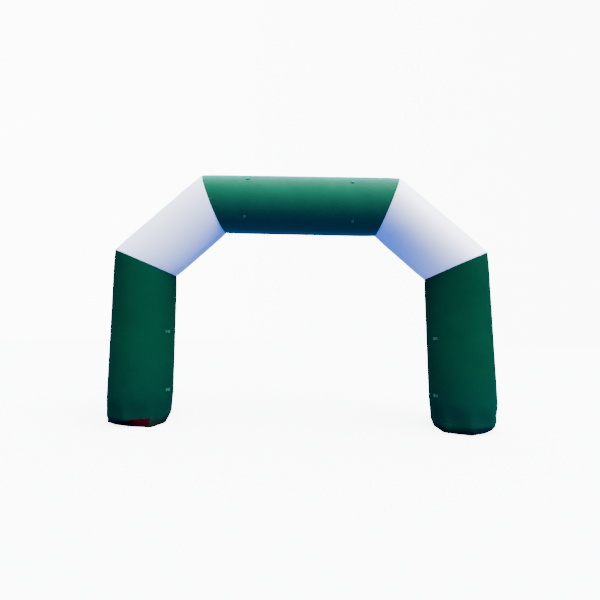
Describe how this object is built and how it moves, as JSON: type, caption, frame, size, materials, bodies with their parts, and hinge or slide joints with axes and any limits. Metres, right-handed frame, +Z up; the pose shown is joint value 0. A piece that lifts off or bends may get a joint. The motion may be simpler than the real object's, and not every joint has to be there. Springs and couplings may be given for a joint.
{
  "type": "inflatable arch",
  "caption": "Angular inflatable arch of round air-filled cloth tubes: green legs and crossbeam, white shoulders, flat gathered bases, webbing tie loops.",
  "frame": {"origin": "middle of the arch on the floor, between its two bases", "axes": "+X across the arch to the right seen from its front, -Y out of its front, +Z up"},
  "size_m": [6.0874, 0.954, 4.0582],
  "materials": {
    "green_cloth": "coated nylon with a soft sheen",
    "dark_green_cloth": "coated nylon, gathered",
    "white_cloth": "coated nylon with a soft sheen",
    "webbing": "woven webbing",
    "red_cloth": "plain woven cloth"
  },
  "bodies": {
    "root": {"base_left": "dark_green_cloth", "base_right": "dark_green_cloth", "leg_left": "green_cloth", "leg_right": "green_cloth", "shoulder_left": "white_cloth", "shoulder_right": "white_cloth", "crossbeam": "green_cloth", "loop_leg_left_low": "webbing", "loop_leg_left_high": "webbing", "loop_leg_right_low": "webbing", "loop_leg_right_high": "webbing", "loop_beam_left_low": "webbing", "loop_beam_left_top": "webbing", "loop_beam_right_low": "webbing", "loop_beam_right_top": "webbing", "red_patch": "red_cloth"}
  },
  "joints": []
}
